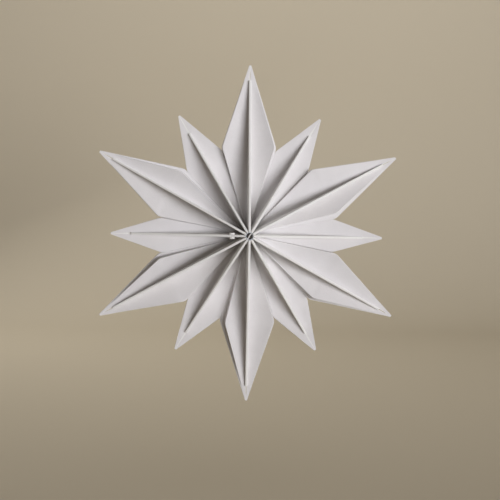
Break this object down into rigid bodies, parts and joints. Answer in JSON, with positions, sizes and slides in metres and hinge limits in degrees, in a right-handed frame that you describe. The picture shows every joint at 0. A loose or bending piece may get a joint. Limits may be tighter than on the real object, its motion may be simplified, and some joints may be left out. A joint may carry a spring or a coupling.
{
  "type": "paper snowflake star",
  "caption": "White folded paper star that opens like a fan, with long and short hollow points by turns and an upright fin down each point.",
  "frame": {"origin": "centre of the star, on its axis and halfway through its depth", "axes": "+Z towards the twelve o'clock point, -Y out of the front of the star, +X to the right seen from the front"},
  "size_m": [0.3535, 0.0952, 0.4],
  "materials": {
    "paper": "matte, uncoated, faint fibre",
    "glue": "dull",
    "thread": "matte twisted thread",
    "magnet": "satin white coating"
  },
  "bodies": {
    "root": {"long_point_12_left_leaf": "paper", "long_point_12_right_leaf": "paper", "short_point_1_left_leaf": "paper", "short_point_1_right_leaf": "paper", "long_point_2_left_leaf": "paper", "long_point_2_right_leaf": "paper", "short_point_3_left_leaf": "paper", "short_point_3_right_leaf": "paper", "long_point_4_left_leaf": "paper", "long_point_4_right_leaf": "paper", "short_point_5_left_leaf": "paper", "short_point_5_right_leaf": "paper", "long_point_6_left_leaf": "paper", "long_point_6_right_leaf": "paper", "short_point_7_left_leaf": "paper", "short_point_7_right_leaf": "paper", "long_point_8_left_leaf": "paper", "long_point_8_right_leaf": "paper", "short_point_9_left_leaf": "paper", "short_point_9_right_leaf": "paper", "long_point_10_left_leaf": "paper", "long_point_10_right_leaf": "paper", "short_point_11_left_leaf": "paper", "short_point_11_right_leaf": "paper", "glue_strip_12_to_1": "glue", "glue_strip_1_to_2": "glue", "glue_strip_2_to_3": "glue", "glue_strip_3_to_4": "glue", "glue_strip_4_to_5": "glue", "glue_strip_5_to_6": "glue", "glue_strip_6_to_7": "glue", "glue_strip_7_to_8": "glue", "glue_strip_8_to_9": "glue", "glue_strip_9_to_10": "glue", "glue_strip_10_to_11": "glue", "glue_strip_11_to_12": "glue", "centre_bridge": "paper", "binding_ring_front": "thread", "binding_ring_back": "thread", "closing_magnet_upper": "magnet", "closing_magnet_lower": "magnet"}
  },
  "joints": []
}
